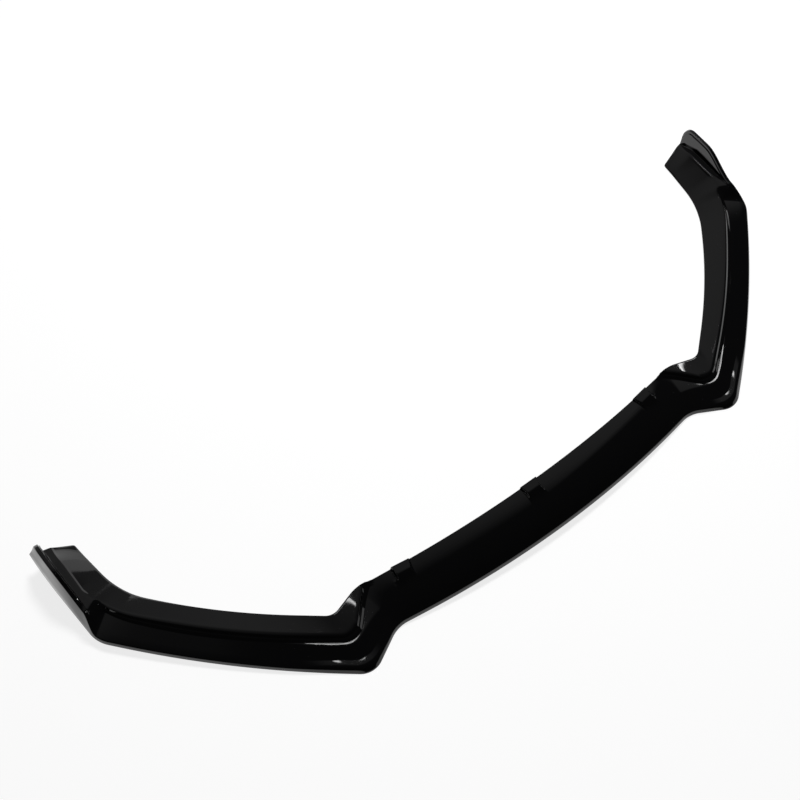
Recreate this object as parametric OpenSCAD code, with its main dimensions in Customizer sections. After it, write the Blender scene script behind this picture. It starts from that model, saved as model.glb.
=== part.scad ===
// Front splitter lip: one thin moulding, lofted from the tip of one fin to the tip of the other.
// Two rails run along it: the rim is the outer bottom edge, and the edge is the inner, rear one.
// A rung joins the two rails at each station, and a rounded section stands on every rung.
// X runs across the car, -Y is forward and Z is up. The lip rests on z = 0.

/* [Overall] */
// Width across the outside of the two fins
span = 1700; // [1640:5:1760]
// Depth from the front corners of the wings to the rear ends of the fins
depth = 563; // [545:1:590]
// Wall thickness of the moulding
wall = 3; // [2.6:0.1:3.2]

/* [Ribbon across the middle] */
// Set-back of the ribbon's front edge behind the wings' front corners, at the middle
nose_setback = 3.9; // [0:0.1:12]
// Width of the ribbon from front to rear, at the middle
ribbon_w = 99.4; // [90:0.2:110]
// Radius of the ribbon's front edge, seen from above
nose_radius = 1930; // [1800:10:2100]
// How much larger the rear edge's radius is than one drawn from the same centre
edge_ease = 31.6; // [0:0.4:60]
// Height of the front edge's underside above the floor, at the middle
nose_rise = 14; // [4:0.5:24]
// Height of the rear edge above the floor, at the middle
crown_rise = 53; // [44:0.5:64]
// Height of the rear edge where the ribbon runs into a wing
throat_rise = 26; // [20:0.5:32]
// Curve of the ribbon's section: 1 is straight, and more keeps its rear level for longer
ribbon_curve = 2.6; // [1.4:0.1:3]

/* [Step from the ribbon out to a wing] */
// Notch in the front edge: distance from the middle plane
notch_x = 370; // [355:1:385]
// Notch in the front edge: depth behind the wing's front corner
notch_y = 39.1; // [30:0.1:48]
// Radius of the notch
notch_r = 60; // [40:1:80]
// Front corner of the wing: distance from the middle plane
corner_x = 456.5; // [445:0.5:470]
// Front corner of the wing: how far its sharp point lies ahead of the rounded corner
corner_lead = 8.1; // [4:0.1:12]
// Radius of the front corner of the wing
corner_r = 42; // [30:1:50]
// Extra roll of the rim round the front corner
corner_roll = 7; // [0:0.5:10]
// Throat in the rear edge: place behind the notch, across the car
throat_dx = 21; // [14:0.5:28]
// Throat in the rear edge: how much wider the ribbon is there than at the middle
throat_gain = 2; // [0:0.2:5]
// Radius of the throat
throat_r = 80; // [50:1:100]
// Hip in the rear edge: place behind the front corner, across the car
hip_dx = 2.3; // [-6:0.1:10]
// Hip in the rear edge: place behind the front corner, along the car
hip_dy = 127.6; // [118:0.2:140]
// Radius of the hip
hip_r = 28; // [20:1:36]

/* [Wing] */
// Kink where the wing turns back into the fin: distance inside the fin's outer face
kink_in = 16.2; // [10:0.2:24]
// Kink: distance behind the front corner
kink_y = 347.3; // [330:0.5:365]
// Radius of the kink
kink_r = 70; // [50:1:90]
// Outward bow of the wing's outer edge
wing_bow = 24; // [14:0.5:32]
// Outward bow of the wing's inner edge
edge_bow = 19.5; // [12:0.5:26]
// Knee in the inner edge, inboard of the kink
knee_dx = 84.3; // [74:0.2:92]
// Knee in the inner edge, behind the kink
knee_dy = 63.6; // [54:0.2:72]
// Radius of the knee
knee_r = 205; // [160:5:240]
// Height of the rolled rim above the blade's bottom edge
rim_h = 9.6; // [8:0.2:14]
// Lean of the rim's outer face
rim_lean = 3.5; // [2:0.1:6]
// Climb of the rim above the floor at the rear ends of the fins
tip_rise = 19.2; // [12:0.2:22]
// Width of the raised band along the inner edge
band_w = 39; // [34:0.5:44]
// Width of the band and the stepped riser in front of it together
riser_to = 58.5; // [54:0.5:62]
// Height of the band's inner edge beside the hip
band_rise = 33; // [28:0.5:38]
// Height of the ridge between band and riser, halfway along the wing
ridge_rise = 30; // [26:0.5:34]
// Climb of that ridge towards the fin
ridge_climb = 5.5; // [0:0.5:9]
// Height of the riser's foot on the blade
foot_rise = 20; // [17:0.5:22]
// Slope of the raised band's inboard end, as band width lost for each millimetre along the edge
band_end_slope = 0.765; // [0.6:0.005:0.95]
// Start of that inboard end, inboard of the hip
band_end_in = 23; // [16:0.5:30]

/* [Fin at the end of a wing] */
// Height of the fin's top above the floor at its front end
fin_front_h = 50; // [44:0.5:58]
// Height of the fin's top above the floor near its rear end
fin_h = 88; // [80:0.5:96]
// Lean of the fin's outer face, from its foot to its top
fin_lean = 16; // [12:0.5:20]
// Width of the fin's rounded top
fin_top_w = 8; // [7.5:0.1:10]
// Foot of the fin's inner face: distance inside its outer face
fin_foot_in = 26.5; // [26:0.5:30]
// Widest the band gets beside the fin
fin_band_w = 48; // [42:0.5:52]
// Edge of the band beside the fin: distance inside the fin's outer face
fin_ridge_in = 43; // [40:0.5:46]
// Height of the ledge at the foot of the fin's inner face
ledge_rise = 46; // [44:0.5:49]
// Height of the ridge beside that ledge
fin_ridge_rise = 40.5; // [37:0.5:43]
// How far the ledge and the ridge come down to the fin's rear end
ledge_drop = 13; // [0:0.5:16]
// Extra climb of the fin's bottom edge at its rear end
fin_sweep = 22; // [0:0.5:26]
// Toe of the inner edge, inboard of the fin's rear end
toe_dx = 78; // [74:0.5:84]
// Toe of the inner edge, ahead of the fin's rear end
toe_dy = 12; // [6:0.5:18]
// Radius of the toe
toe_r = 8; // [2:0.5:12]

/* [Pads on the ribbon's rear edge] */
// Distance of each side pad from the middle plane
side_pad_x = 301; // [270:1:320]
// Place of the middle pad, across the car
mid_pad_x = -9; // [-40:1:40]
// Width of a pad at its foot
pad_w = 41; // [34:0.5:50]
// Depth of a pad at its foot
pad_d = 41; // [34:0.5:46]
// Depth of a pad's level top
pad_top_d = 19; // [14:0.5:24]
// Height of a pad's top above the ribbon's rear edge
pad_h = 7; // [5:0.5:12]
// Draft that narrows a pad towards its front and top
pad_draft = 6; // [3:0.5:8]
// Radius of a pad's edges
pad_r = 2.5; // [1.5:0.1:3]

/* [Hidden] */

// Stations of the rails: whole numbers are their vertices, from the middle to the fin's end
NOTCH = 2;
CORNER = 3;
WING = 4;
KINK = 5;
FIN = 6;
TIP = 7;
// The first arc's vertex lies at most this share of the way out to the next vertex
LEAD_MOST = 0.47;
// The fin's outer face ends this far inside half the span
FIN_IN = 0.2;
// The outer and the inner edge of the fin bow at these shares of their length, the inner one by this
// much, on an arc of at most this radius
FIN_BOW_AT = 0.78;
TOE_BOW_AT = 0.76;
TOE_BOW = 0.8;
TOE_BOW_R = 400;
// The rim's roll at the front corner comes in up to CORNER, and goes out between the other two stations
ROLL_FROM = 2.3;
ROLL_HELD = 3.15;
ROLL_TO = 3.6;
// It lifts the rim's top by this share of its width
ROLL_LIFT = 1 / 3;
// The band widens towards the fin between these two stations
WIDEN_FROM = 4.3;
WIDEN_TO = 5.3;
// Its ridge climbs between these two, and stands this much higher at its inboard end
RIDGE_FROM = 3.2;
RIDGE_TO = 5.4;
RIDGE_LIFT = 3;
// The riser's foot climbs by this much to the middle of the wing, and by this much beyond it
FOOT_LIFT = 2;
FOOT_CLIMB = 5;
// The ribbon's rear edge drops by this much under the band, and the band's edge by this much above it
HIP_DROP = 4;
HIP_LIFT = 1;
// The band's inner edge comes down from this far behind the hip to this far ahead of the knee
FALL_LAG = 3;
FALL_LEAD = 15;
// Where the spacing of the rungs changes, and the number of rungs up to there
BREAKS = [0, 1, 1.8, NOTCH, CORNER, 3.4, WING, 4.8, KINK, 5.26, FIN, 6.7, TIP];
COUNTS = [6, 5, 3, 14, 5, 4, 5, 3, 6, 5, 4, 6];
HALF = concat([for (i = [0 : len(COUNTS) - 1], k = [0 : COUNTS[i] - 1])
    BREAKS[i] + (BREAKS[i + 1] - BREAKS[i]) * k / COUNTS[i]], [TIP]);
// Distance of the bowed edges' and the arcs' ends from each other, as a share of what is free
ARC_FILL = 0.92;
// The fin stands up between these two stations
FIN_FROM = 5.02;
FIN_TO = 5.24;
// Its rear end is rounded from this station on, down to this share of its height
FIN_ROUND = 6.4;
FIN_ROUND_END = 7.02;
FIN_END = 0.6;
// The fin's top climbs between these two stations
CLIMB_FROM = 5.22;
CLIMB_TO = 5.82;
// The fin's bottom edge sweeps up from this station, the ledge comes down from the next, and the toe
// is rounded from the last
SWEEP_FROM = 5.6;
DROP_FROM = 5.9;
TOE_FROM = 6.8;
// The fin is solid from its top down to this depth
FIN_SOLID = 9;
// At most this share of the fin's height is solid
SOLID_SHARE = 0.3;
// Steps of the riser, as shares of its width and of its height, from its foot to the ridge
STEP_W = [0, 0.28, 0.41, 0.62, 1];
STEP_H = [0, 0.42, 0.46, 0.93, 1];
// The same beside the fin: a gently sloping ledge, and then one step
FIN_STEP_W = [0, 0.3, 0.55, 0.78, 1];
FIN_STEP_H = [0, 0.1, 0.2, 0.35, 1];
// Least spacing of the section's corners where the riser runs out at the rear edge, and on the ribbon
CREASE = 0.9;
CREASE_RIBBON = 5;
// Radii in the section: riser's foot, two crests and the groove between them, ridge
FOOT_R = 8;
CREST_R = 1.5;
GROOVE_R = 2;
RIDGE_R = 12;
// Radii of the rim's top, of its extra roll at the front corner, behind it, and along the swell
RIM_R = 4;
ROLL_R = 18;
NOSE_R = 25;
SWELL_R = 40;
// Width of the nose behind the rim's top edge
NOSE_W = 16;
// The ribbon's section turns into the wing's between these distances, inboard of the notch and outboard
// of the hip
WING_LEAD = 40;
WING_LAG = 10;
// Corners between rim and foot that carry the swell
SWELLS = 4;
// A rounded corner takes at least and at most these shares of the shorter side next to it
LEAST_CUT = 0.2;
MOST_CUT = 0.46;
// A pad's sides lean in at its rear edge by this share of what they lean elsewhere
PAD_REAR_LEAN = 0.25;
// Least radius of the pad's edges inside, and the facets of a full round
PAD_LEAST_R = 0.6;
PAD_FACETS = 12;
// The pad's block reaches this far above the ribbon's underside
PAD_LAP = 0.4;

// A ramp from 0 to 1 between a and b, with level ends
function ramp(x, a, b) = let (t = min(1, max(0, (x - a) / (b - a)))) t * t * (3 - 2 * t);
function mix(a, b, t) = a + (b - a) * t;
function unit(v) = v / norm(v);
// The value of a falling staircase of corners at x
function steps(x, xs, ys, k = 0) =
    x >= xs[0] ? ys[0] :
    k == len(xs) - 1 ? ys[k] :
    x >= xs[k + 1] ? mix(ys[k + 1], ys[k], (x - xs[k + 1]) / (xs[k] - xs[k + 1])) :
    steps(x, xs, ys, k + 1);

// Rails

// The vertex that bows the line from a to b out by h, to its right
function bowed(a, b, h) = let (d = unit(b - a)) (a + b) / 2 + h * [d[1], -d[0]];
// The turn at vertex k of the line v, in degrees, positive to the left
function turn(v, k) = k < 1 || k > len(v) - 2 ? 0 :
    let (a = unit(v[k] - v[k - 1]), b = unit(v[k + 1] - v[k]))
    atan2(a[0] * b[1] - a[1] * b[0], a * b);
function tangent(v, r, k) = r[k] * tan(abs(turn(v, k)) / 2);
// The largest radius at vertex k that leaves room for its neighbours' arcs
function open_radius(v, r, k) =
    ARC_FILL * min(norm(v[k] - v[k - 1]) - tangent(v, r, k - 1),
        norm(v[k + 1] - v[k]) - tangent(v, r, k + 1)) / tan(abs(turn(v, k)) / 2);
// A point on the arc at vertex k, at distance s past its middle
function on_arc(v, r, k, s) =
    let (d = unit(v[k] - v[k - 1]), sg = turn(v, k) < 0 ? -1 : 1,
        n = sg * [-d[1], d[0]],
        c = v[k] - d * tangent(v, r, k) + n * r[k],
        a = sg * (abs(turn(v, k)) / 2 + s / r[k] * 180 / PI))
    c - r[k] * [n[0] * cos(a) - n[1] * sin(a), n[0] * sin(a) + n[1] * cos(a)];
function half_arc(v, r, k) = r[k] * abs(turn(v, k)) / 2 * PI / 180;
// The point of the rail with vertices v and radii r at station u
function on_rail(v, r, u) =
    let (k = min(floor(u), len(v) - 2), a = half_arc(v, r, k), b = half_arc(v, r, k + 1),
        d = unit(v[k + 1] - v[k]),
        l = norm(v[k + 1] - v[k]) - tangent(v, r, k) - tangent(v, r, k + 1),
        s = (u - k) * (a + l + b))
    s < a ? on_arc(v, r, k, s) :
    s <= a + l ? v[k] + d * (tangent(v, r, k) + s - a) :
    on_arc(v, r, k + 1, s - a - l - b);
// The vertex on the line y = y0 whose arc of radius r, or of the largest that fits, aims at point p
function lead_vertex(y0, p, r) = [tangent_x(r, p[0], p[1] - y0, 0, LEAD_MOST * p[0]), y0];
function lead_radius(v, p) = v[0] / tan(atan2(p[1] - v[1], p[0] - v[0]) / 2);
// Bisection for the tangent length t at which r, t and the line to (x, q) agree
function tangent_x(r, x, q, lo, hi, n = 30) =
    let (t = (lo + hi) / 2) n == 0 ? t :
    r * tan(atan2(q, x - t) / 2) > t ? tangent_x(r, x, q, t, hi, n - 1) :
    tangent_x(r, x, q, lo, t, n - 1);

half_span = span / 2;
notch = [notch_x, notch_y];
corner = [corner_x, -corner_lead];
kink = [half_span - kink_in, kink_y];
fin_end = [half_span - FIN_IN, depth];
fin_bow = [half_span - FIN_IN, mix(kink_y, depth, FIN_BOW_AT)];
rim_lead = lead_vertex(nose_setback, notch, nose_radius);
rim_lead_r = lead_radius(rim_lead, notch);
rim_v = [[0, nose_setback], rim_lead, notch, corner,
    bowed(corner, kink, wing_bow), kink, fin_bow, fin_end];
rim_r0 = [0, rim_lead_r, notch_r, corner_r, 0, kink_r, 0, 0];
rim_r = [0, rim_lead_r, notch_r, corner_r, open_radius(rim_v, rim_r0, WING), kink_r,
    open_radius(rim_v, rim_r0, FIN), 0];

throat = notch + [throat_dx, ribbon_w + throat_gain];
hip = corner + [hip_dx, hip_dy];
knee = kink + [-knee_dx, knee_dy];
toe = fin_end + [-toe_dx, -toe_dy];
toe_bow = mix(knee, toe, TOE_BOW_AT) + [TOE_BOW, 0];
rear_y = nose_setback + ribbon_w;
edge_lead = lead_vertex(rear_y, throat, nose_radius + ribbon_w + edge_ease);
edge_radius = lead_radius(edge_lead, throat);
edge_v = [[0, rear_y], edge_lead, throat, hip, bowed(hip, knee, edge_bow), knee,
    toe_bow, toe];
edge_r0 = [0, edge_radius, throat_r, hip_r, 0, knee_r, 0, 0];
edge_r = [0, edge_radius, throat_r, hip_r, open_radius(edge_v, edge_r0, WING), knee_r,
    min(TOE_BOW_R, open_radius(edge_v, edge_r0, FIN)), 0];

function rim_at(u) = on_rail(rim_v, rim_r, u);
// The inner edge, whose toe is rounded
function edge_at(u) = let (t = max(0, (u - TOE_FROM) / (TIP - TOE_FROM)))
    on_rail(edge_v, edge_r, u) + [toe_r * (1 - sqrt(max(0, 1 - t * t))), 0];

// The lip's own place: the middle of its box lies at y = 0
front = min([for (u = HALF) rim_at(u)[1]]);
back = max([for (u = HALF) max(rim_at(u)[1], edge_at(u)[1])]);
shift_y = -(front + back) / 2;

// Heights and widths at a station, where r is the rim's point and e the edge's

function is_fin(u) = ramp(u, FIN_FROM, FIN_TO);
function near_kink(u) = ramp(u, WIDEN_FROM, WIDEN_TO);
function near_corner(u) = ramp(u, ROLL_FROM, CORNER) * (1 - ramp(u, ROLL_HELD, ROLL_TO));
// Bottom of the rim
function rim_z(u, r) =
    (u < NOTCH ? nose_rise * max(0, 1 - pow(r[0] / notch_x, 2)) : 0)
    + (u > CORNER ? tip_rise * max(0, r[1] - front) / (back - front) : 0)
    + fin_sweep * ramp(u, SWEEP_FROM, TIP);
// Top of the rim, or of the fin that the rim grows into
function fin_top(u) =
    mix(fin_front_h, fin_h, ramp(u, CLIMB_FROM, CLIMB_TO))
    * mix(FIN_END, 1, sqrt(max(0, 1 - pow(max(0, (u - FIN_ROUND) / (FIN_ROUND_END - FIN_ROUND)), 2))));
function rim_top(u, r) =
    mix(rim_z(u, r) + rim_h + corner_roll * ROLL_LIFT * near_corner(u), fin_top(u), is_fin(u));
function top_in(u) = mix(rim_lean + corner_roll * near_corner(u), fin_lean, is_fin(u));
// Rear edge of the ribbon, and how it goes on under the band
function ribbon_edge_z(x) =
    x < throat[0] ? throat_rise + (crown_rise - throat_rise) * (1 - pow(x / throat[0], 2)) :
    throat_rise - HIP_DROP * ramp(x, throat[0], hip[0]);
// Inner edge of the raised band, which comes down to the floor at the knee
function band_edge_z(e, u) =
    u < CORNER ? band_rise + HIP_LIFT * (1 - ramp(e[0], throat[0], hip[0])) :
    mix(band_rise, wall,
        min(1, max(0, (e[1] - hip[1] - FALL_LAG) / (knee[1] - hip[1] - FALL_LAG - FALL_LEAD))));
function down(u) = ledge_drop * ramp(u, DROP_FROM, TIP);
function ridge_z(u) =
    mix(ridge_rise + RIDGE_LIFT * (1 - ramp(u, ROLL_FROM, CORNER))
            + ridge_climb * ramp(u, RIDGE_FROM, RIDGE_TO),
        fin_ridge_rise - down(u), is_fin(u));
function foot_z(u) =
    mix(foot_rise + FOOT_LIFT * ramp(u, CORNER, WING) + FOOT_CLIMB * ramp(u, WING, KINK),
        ledge_rise - down(u), is_fin(u));
// Widths from the inner edge to the ridge and to the riser's foot
function ridge_m(u, w) = mix(band_w, min(fin_band_w, w - fin_ridge_in), near_kink(u));
function foot_m(u, w) = mix(riser_to, w - fin_foot_in, is_fin(u));
// The steps of the riser at a station
function step_w(u) = mix(STEP_W, FIN_STEP_W, is_fin(u));
function step_h(u) = mix(STEP_H, FIN_STEP_H, is_fin(u));
// How far the riser has run out at the rear edge, at the band's inboard end
function run_out(u, e) = u < CORNER ? band_end_slope * max(0, hip[0] - band_end_in - e[0]) : 0;
// How much of the section is the wing's and not the ribbon's
function wing_share(e) = ramp(e[0], notch_x - WING_LEAD, hip[0] + WING_LAG);

// The ribbon's height at share f of its width, from its front top to its rear edge
function ribbon_profile(a, b, f) = b - (b - a) * pow(1 - f, ribbon_curve);
// The surface under the band: z at distance m from the inner edge, on a rung of length w
function base_z(u, r, e, w, m) =
    let (n1 = top_in(u), zt = rim_top(u, r), f = min(1, max(0, (w - n1 - m) / (w - n1))),
        rib = ribbon_profile(zt, ribbon_edge_z(e[0]), f),
        g = (w - n1 - m) / (w - n1 - foot_m(u, w)),
        blade = g < 1 ? mix(zt, foot_z(u), g) : foot_z(u))
    mix(rib, blade, wing_share(e));
// The whole top surface on the ribbon and the wing
function lip_z(u, r, e, w, m) =
    let (a = ridge_m(u, w), b = foot_m(u, w),
        s = steps(m + run_out(u, e), [for (t = step_w(u)) mix(b, a, t)], step_h(u)),
        band = mix(band_edge_z(e, u), ridge_z(u), min(1, m / a)))
    mix(base_z(u, r, e, w, m), band, s);

// Sections: lists of [n, z], where n runs from the rim to the inner edge

// The corners of the riser, kept apart where it runs out at the rear edge
function riser(u, r, e, w) = [for (i = [0 : len(STEP_W) - 1])
    let (c = mix(CREASE_RIBBON, CREASE, ramp(e[0], notch_x - WING_LEAD, throat[0])),
        m = max(mix(foot_m(u, w), ridge_m(u, w), step_w(u)[i]) - run_out(u, e), c * (len(STEP_W) - i)))
    [w - m, lip_z(u, r, e, w, m)]];
function section(u, r, e, w) =
    let (fin = is_fin(u), n1 = top_in(u), zt = rim_top(u, r), up = riser(u, r, e, w),
        n2 = min(n1 + mix(NOSE_W, fin_top_w, fin), up[0][0] - CREST_R),
        z2 = mix(base_z(u, r, e, w, w - n2), zt, fin))
    concat([[0, rim_z(u, r)], [n1, zt], [n2, z2]],
        [for (i = [1 : SWELLS]) let (t = i / (SWELLS + 1), n = mix(n2, up[0][0], t))
            [n, mix(base_z(u, r, e, w, w - n), mix(z2, up[0][1], t), min(1, 4 * fin))]],
        up, [[w, lip_z(u, r, e, w, 0)]]);
// One rounded corner b between a and c, as n points of an arc
function corner_arc(a, b, c, r, n) =
    let (p = unit(b - a), q = unit(c - b), f = acos(min(1, max(-1, p * q))),
        room = min(norm(b - a), norm(c - b)), k = cos(f / 2),
        t = room * min(MOST_CUT, max(LEAST_CUT, r * tan(f / 2) / room)))
    [for (i = [0 : n - 1])
        let (s = n == 1 ? 0.5 : i / (n - 1), g = [(1 - s) * (1 - s), 2 * s * (1 - s) * k, s * s])
        (g[0] * (b - p * t) + g[1] * b + g[2] * (b + q * t)) / (g[0] + g[1] + g[2])];
function rounded(p, r, n) = concat([p[0]],
    [for (k = [1 : len(p) - 2]) each corner_arc(p[k - 1], p[k], p[k + 1], r[k], n[k])], [p[len(p) - 1]]);
// The line p moved by t to its right, corner by corner
function inset(p, t) = [for (k = [0 : len(p) - 1])
    let (a = k == 0 ? unit(p[1] - p[0]) : unit(p[k] - p[k - 1]),
        b = k == len(p) - 1 ? a : unit(p[k + 1] - p[k]),
        na = [a[1], -a[0]], nb = [b[1], -b[0]], n = na + nb)
    p[k] + t * n / max(0.5, 1 + na * nb)];
function top_chain(u, p) =
    let (fin = is_fin(u), roll = mix(RIM_R + ROLL_R * near_corner(u), RIM_R, fin))
    rounded(p, concat([0, roll, mix(NOSE_R, RIM_R, fin)], [for (i = [1 : SWELLS]) SWELL_R],
            [mix(FOOT_R, wall, fin), CREST_R, GROOVE_R, CREST_R, RIDGE_R, 0]),
        concat([0, 4, 2], [for (i = [1 : SWELLS]) 1], [3, 2, 1, 2, 3, 0]));
// The underside keeps the rim, two points of the swell, the foot, the ridge and the edge
function under_chain(u, p) =
    let (f = is_fin(u) * min(SOLID_SHARE, FIN_SOLID / (p[1][1] - p[0][1])),
        foot = len(p) - len(STEP_W) - 1,
        top = [mix(p[1], p[0], f), mix(p[2], p[foot], f)],
        q = concat([p[0]], top, [p[4], p[6], p[foot], p[len(p) - 2], p[len(p) - 1]]), s = inset(q, wall))
    rounded([for (k = [0 : len(s) - 1]) k == 0 ? [s[0][0], p[0][1]] : s[k]],
        [0, wall, wall, SWELL_R, SWELL_R, RIDGE_R, RIDGE_R, 0], [0, 2, 1, 1, 1, 2, 2, 0]);
function ring(u) =
    let (r = rim_at(abs(u)), e = edge_at(abs(u)), w = norm(e - r), d = unit(e - r),
        p = section(abs(u), r, e, w), low = under_chain(abs(u), p),
        all = concat(top_chain(abs(u), p), [for (k = [len(low) - 1 : -1 : 0]) low[k]]))
    [for (q = all) let (xy = r + d * q[0]) [sign(u) * xy[0], xy[1] + shift_y, max(0, q[1])]];

module shell() {
    side = [for (k = [1 : len(HALF) - 1]) HALF[k]];
    us = concat([for (k = [len(side) - 1 : -1 : 0]) -side[k]], [1e-9], side);
    rings = [for (u = us) ring(u)];
    n = len(rings[0]);
    last = (len(us) - 1) * n;
    polyhedron([for (g = rings) each g], concat(
        [for (i = [0 : len(us) - 2], k = [0 : n - 1])
            let (a = i * n + k, b = i * n + (k + 1) % n) each [[a, b, b + n], [a, b + n, a + n]]],
        [[for (k = [n - 1 : -1 : 0]) k]], [[for (k = [0 : n - 1]) last + k]]));
}

// Pads: the same tapered block is the outside and, set in by the wall, the hollow from below

function edge_y(x) = rear_y + edge_radius - sqrt(edge_radius * edge_radius - x * x) + shift_y;
// The ribbon's top at distance m ahead of its rear edge
function ribbon_z(x, m) =
    let (w = ribbon_w, n1 = rim_lean, f = (w - n1 - m) / (w - n1),
        zt = nose_rise * (1 - pow(x / notch_x, 2)) + rim_h)
    ribbon_profile(zt, ribbon_edge_z(abs(x)), f);
module ball(x, m, z, r) translate([x, -m, z]) sphere(r, $fn = PAD_FACETS);
module pad_block(px, inset, drop) {
    r = max(PAD_LEAST_R, pad_r - inset / 2);
    foot = pad_w / 2 - r - inset;
    far = pad_d - r - inset;
    top = ribbon_edge_z(abs(px)) + pad_h - r - inset;
    translate([px, edge_y(px), 0]) rotate(asin(px / edge_radius)) hull() {
        for (s = [-1, 1]) {
            lean = ribbon_z(px + s * foot, far) - drop;
            ball(s * foot, r + inset, ribbon_z(px + s * foot, r) - drop, r);
            ball(s * foot, far, lean, r);
            ball(s * (foot - pad_draft * PAD_REAR_LEAN), r + inset, top, r);
            ball(s * (foot - pad_draft), pad_top_d - r - inset / 2, top, r);
        }
    }
}
module pads(inset, drop) {
    pad_block(mid_pad_x, inset, drop);
    pad_block(side_pad_x, inset, drop);
    pad_block(-side_pad_x, inset, drop);
}

module lip() color([0.02, 0.02, 0.022]) difference() {
    union() {
        shell();
        pads(0, wall - PAD_LAP);
    }
    pads(wall, 4 * wall);
}

lip();
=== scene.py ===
"""Front splitter lip in gloss black: one smooth moulding on a pale floor, under one wide soft light behind it."""

import math
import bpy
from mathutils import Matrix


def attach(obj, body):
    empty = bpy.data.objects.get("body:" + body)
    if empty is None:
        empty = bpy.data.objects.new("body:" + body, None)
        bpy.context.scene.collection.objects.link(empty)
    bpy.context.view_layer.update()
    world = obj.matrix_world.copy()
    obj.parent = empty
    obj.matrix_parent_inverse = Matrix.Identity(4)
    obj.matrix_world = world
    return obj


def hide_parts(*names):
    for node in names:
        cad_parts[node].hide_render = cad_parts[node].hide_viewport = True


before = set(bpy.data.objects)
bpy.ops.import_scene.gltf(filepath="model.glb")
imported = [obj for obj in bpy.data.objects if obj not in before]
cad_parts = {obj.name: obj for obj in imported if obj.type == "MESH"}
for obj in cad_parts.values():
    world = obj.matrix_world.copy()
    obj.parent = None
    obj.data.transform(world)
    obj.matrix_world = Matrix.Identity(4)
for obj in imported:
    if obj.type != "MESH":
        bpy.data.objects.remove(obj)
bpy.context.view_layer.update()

from types import SimpleNamespace

import bpy
import numpy as np
from bpy.props import FloatProperty, FloatVectorProperty, PointerProperty
from mathutils import Matrix, Vector

bl_info = {
    "name": "Front splitter lip",
    "version": (1, 0, 0),
    "blender": (4, 5, 0),
    "location": "View3D > Sidebar > Lip",
    "description": "Builds a gloss black front splitter lip and the studio it stands in",
    "category": "Object",
}

MM = 0.001

# Stations along the lip: whole numbers are the vertices of its two rails
NOTCH, CORNER, WING, KINK, TIP = 2, 3, 4, 5, 7
# The fin stands up between the first two stations and climbs between the next two
FIN_FROM, FIN_TO, CLIMB_FROM, CLIMB_TO = 5.02, 5.24, 5.22, 5.82
# Its rear end is rounded from the first station on, down to the last share of its height
FIN_ROUND, FIN_ROUND_END, FIN_END = 6.4, 7.02, 0.6
# Where its bottom edge starts to sweep up, its ledge to come down and its toe to round off
SWEEP_FROM, DROP_FROM, TOE_FROM = 5.6, 5.9, 6.8
# Where the rim starts to roll over at the front corner, until where that holds, where it ends, and its lift per roll
ROLL_FROM, ROLL_HELD, ROLL_TO, ROLL_LIFT = 2.3, 3.15, 3.6, 1 / 3
# Where the ridge climbs and where the band widens towards the fin
RIDGE_FROM, RIDGE_TO, WIDEN_FROM, WIDEN_TO = 3.2, 5.4, 4.3, 5.3
# How far the ridge is raised at the notch, and the riser's foot along the wing and then up to the fin, in millimetres
RIDGE_LIFT, FOOT_LIFT, FOOT_CLIMB = 3, 2, 5
# How far the rear edge drops and the band rises at the hip, and where the band starts and ends its fall
HIP_DROP, HIP_LIFT, FALL_LAG, FALL_LEAD = 4, 1, 3, 15
# How far the fin's rail lies inside the span, where it bends, and where, how far and how gently the toe's rail bends
FIN_IN, FIN_BOW_AT, TOE_BOW_AT, TOE_BOW, TOE_BOW_R = 0.2, 0.78, 0.76, 0.8, 400
# How far before the notch the ribbon starts to turn into the wing, and how far past the hip it is one
WING_LEAD, WING_LAG = 40, 10
# Steps of the riser, as shares of its width and of its height, from its foot to the ridge
STEP_W = np.array([0, 0.28, 0.41, 0.62, 1])
STEP_H = np.array([0, 0.42, 0.46, 0.93, 1])
# The same beside the fin: a gently sloping ledge, and then one step
FIN_STEP_W = np.array([0, 0.3, 0.55, 0.78, 1])
FIN_STEP_H = np.array([0, 0.1, 0.2, 0.35, 1])
# Ends of the stretches along half the lip, and the number of sections in each
STRETCHES = ((0, 0.2, 34), (0.2, 1.44, 28), (1.44, 1.7, 50), (1.7, 2, 14), (2, 3.4, 84), (3.4, 4.85, 50),
             (4.85, 5.35, 44), (5.35, 6.65, 26), (6.65, 7, 14))

# Sizes of the form that a user has no need to change, in millimetres
FORM = dict(
    nose_setback=3.9, nose_radius=1930.0, notch_x=370.0, notch_y=39.1, notch_r=60.0, corner_x=456.5, corner_lead=8.1,
    corner_r=42.0, corner_roll=7.0, throat_dx=21.0, throat_gain=2.0, edge_ease=31.6, throat_r=80.0, hip_dx=2.3,
    hip_dy=127.6, hip_r=28.0, kink_in=16.2, kink_y=347.3, kink_r=70.0, edge_bow=19.5, knee_dx=84.3, knee_dy=63.6,
    knee_r=205.0, rim_lean=3.5, tip_rise=19.2, riser_to=58.5, band_rise=33.0, ridge_climb=5.5, band_end_slope=0.765,
    band_end_in=23.0, ribbon_curve=2.6, fin_front_h=50.0, fin_lean=16.0, fin_foot_in=26.5, fin_band_w=48.0,
    fin_ridge_in=43.0, ledge_rise=46.0, fin_ridge_rise=40.5, ledge_drop=13.0, fin_sweep=22.0, toe_dx=78.0, toe_dy=12.0,
    toe_r=8.0, side_pad_x=301.0, pad_draft=6.0, level_rim=18.0, level_foot=6.0, level_ridge=5.0,
)
# Points on the run from the rim to the riser's foot
SWELLS = 24
# Heights over which a pad's faces are rounded into each other and into the ribbon
PAD_TOP_SOFT, PAD_SIDE_SOFT, PAD_BACK_SOFT, PAD_FILLET = 1.6, 2.2, 2.0, 2.4
# How far a pad's foot lies below the ribbon's rear edge, and how deep its back is
PAD_SUNK, PAD_BACK = 6, 1.2


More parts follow.
